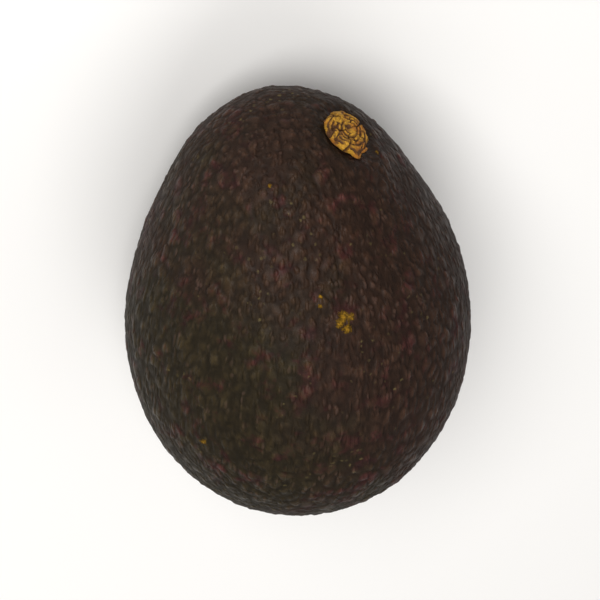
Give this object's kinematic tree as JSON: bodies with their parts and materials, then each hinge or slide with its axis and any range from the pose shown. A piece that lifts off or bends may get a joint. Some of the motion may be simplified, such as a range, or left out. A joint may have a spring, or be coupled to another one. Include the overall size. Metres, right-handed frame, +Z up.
{
  "type": "avocado",
  "caption": "Whole avocado lying on its side: pear-shaped fruit with dark pebbled skin, a short bent neck and a corky stem button in a shallow dish.",
  "frame": {"origin": "middle of the bounding box, at the bottom, on the surface that the fruit rests on", "axes": "+Z up; +X along the fruit, from the blossom end to the stem end; the neck bends a little towards +Y"},
  "size_m": [0.0864, 0.063, 0.0604],
  "materials": {
    "skin": "dark brown-green pebbled rind, low waxy gloss",
    "stem_cork": "dry amber cork, matte"
  },
  "bodies": {
    "root": {"fruit": "skin", "stem_button": "stem_cork"}
  },
  "joints": []
}
